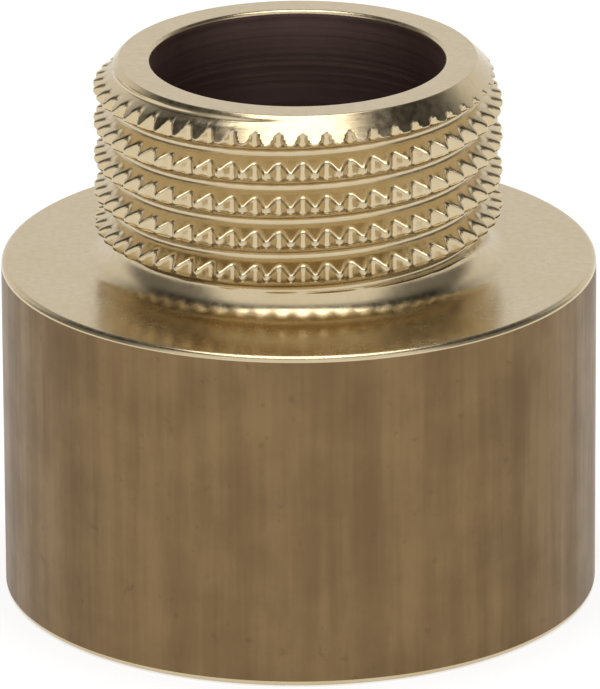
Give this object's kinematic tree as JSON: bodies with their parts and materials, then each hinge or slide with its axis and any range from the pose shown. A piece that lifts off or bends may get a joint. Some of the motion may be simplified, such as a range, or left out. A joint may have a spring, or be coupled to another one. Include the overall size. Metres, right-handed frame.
{
  "type": "threaded pipe extension",
  "caption": "Turned brass pipe extension: a narrow male threaded stub with serrated crests rises from a wide round body with a female threaded socket below.",
  "frame": {"origin": "centre of the round rest face, at the socket's mouth", "axes": "+Z along the bore, from the socket towards the male thread's end"},
  "size_m": [0.0304, 0.0304, 0.0283],
  "materials": {
    "brass": "turned brass, satin, slightly aged"
  },
  "bodies": {
    "root": {"extension": "brass"}
  },
  "joints": []
}
